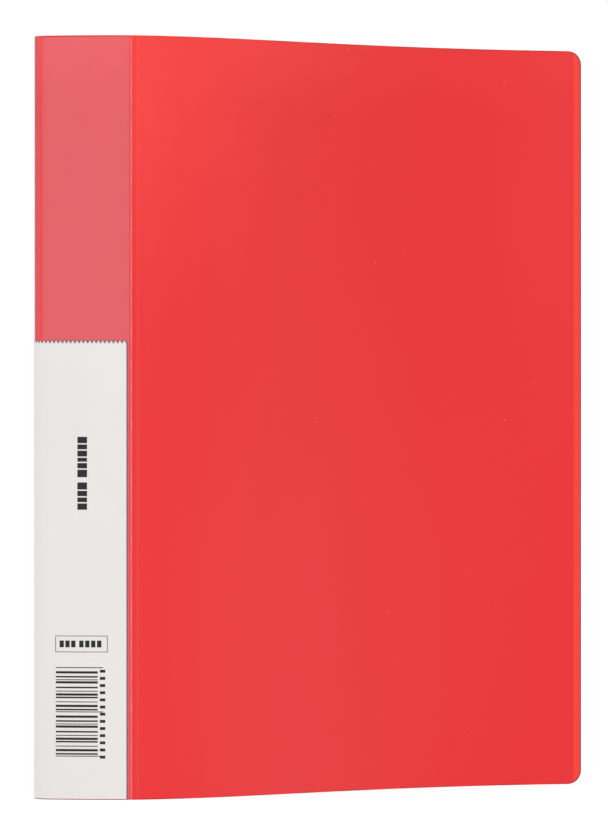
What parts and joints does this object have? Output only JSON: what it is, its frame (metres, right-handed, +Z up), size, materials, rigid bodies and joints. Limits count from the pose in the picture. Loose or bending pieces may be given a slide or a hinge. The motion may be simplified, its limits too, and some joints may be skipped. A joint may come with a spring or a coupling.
{
  "type": "ring binder",
  "caption": "Slim folded plastic document file standing ajar, with a clear spine pocket and label, and a snap ring mechanism riveted inside the rear cover.",
  "frame": {"origin": "middle of the spine panel's bottom edge, on the surface the file stands on", "axes": "+Z up along the spine, -Y out of the spine's labelled face, +X from the rear cover towards the front cover"},
  "size_m": [0.218, 0.2495, 0.315],
  "materials": {
    "cover_sheet": "satin, slightly see-through polypropylene",
    "pocket_film": "clear hazy film",
    "label_card": "uncoated white card",
    "nickel_plate": "bright nickel plate",
    "spring_steel": "zinc-plated steel"
  },
  "bodies": {
    "rear": {"rear_cover": "cover_sheet", "rear_living_hinge": "cover_sheet", "ring_housing": "nickel_plate", "lever_pin_upper": "nickel_plate", "lever_pin_lower": "nickel_plate", "mounting_post_upper": "spring_steel", "mounting_post_lower": "spring_steel", "rivet_upper": "spring_steel", "rivet_lower": "spring_steel"},
    "spine": {"spine_panel": "cover_sheet", "front_living_hinge": "cover_sheet", "spine_pocket_film": "pocket_film", "spine_label_card": "label_card"},
    "front": {"front_cover": "cover_sheet"},
    "fore_side_ring_half": {"blade_fore_side": "spring_steel", "half_ring_upper_fore_side": "nickel_plate", "half_ring_lower_fore_side": "nickel_plate"},
    "spine_side_ring_half": {"blade_spine_side": "spring_steel", "half_ring_upper_spine_side": "nickel_plate", "half_ring_lower_spine_side": "nickel_plate"},
    "upper_lever": {"lever_upper": "nickel_plate"},
    "lower_lever": {"lever_lower": "nickel_plate"}
  },
  "joints": [
    {"name": "rear_fold", "type": "hinge", "parent": "rear", "child": "spine", "pos_m": [-0.0215, 0, 0.1575], "axis": [0, 0, 1], "range_deg": [-90, 0]},
    {"name": "front_fold", "type": "hinge", "parent": "spine", "child": "front", "pos_m": [0.0215, 0, 0.1575], "axis": [0, 0, 1], "range_deg": [-45, 45]},
    {"name": "fore_side_rings", "type": "hinge", "parent": "rear", "child": "fore_side_ring_half", "pos_m": [-0.01725, 0.03932, 0.1575], "axis": [0, 0, 1], "range_deg": [0, 16]},
    {"name": "spine_side_rings", "type": "hinge", "parent": "rear", "child": "spine_side_ring_half", "pos_m": [-0.01725, 0.02068, 0.1575], "axis": [0, 0, -1], "range_deg": [0, 16]},
    {"name": "upper_lever_tilt", "type": "hinge", "parent": "rear", "child": "upper_lever", "pos_m": [-0.01704, 0.03, 0.2155], "axis": [0, -1, 0], "range_deg": [0, 20]},
    {"name": "lower_lever_tilt", "type": "hinge", "parent": "rear", "child": "lower_lever", "pos_m": [-0.01704, 0.03, 0.0995], "axis": [0, 1, 0], "range_deg": [0, 20]}
  ],
  "couplings": [
    {"joint": "spine_side_rings", "follows": "fore_side_rings", "ratio": 1},
    {"joint": "upper_lever_tilt", "follows": "fore_side_rings", "ratio": 1.25},
    {"joint": "lower_lever_tilt", "follows": "fore_side_rings", "ratio": 1.25}
  ]
}
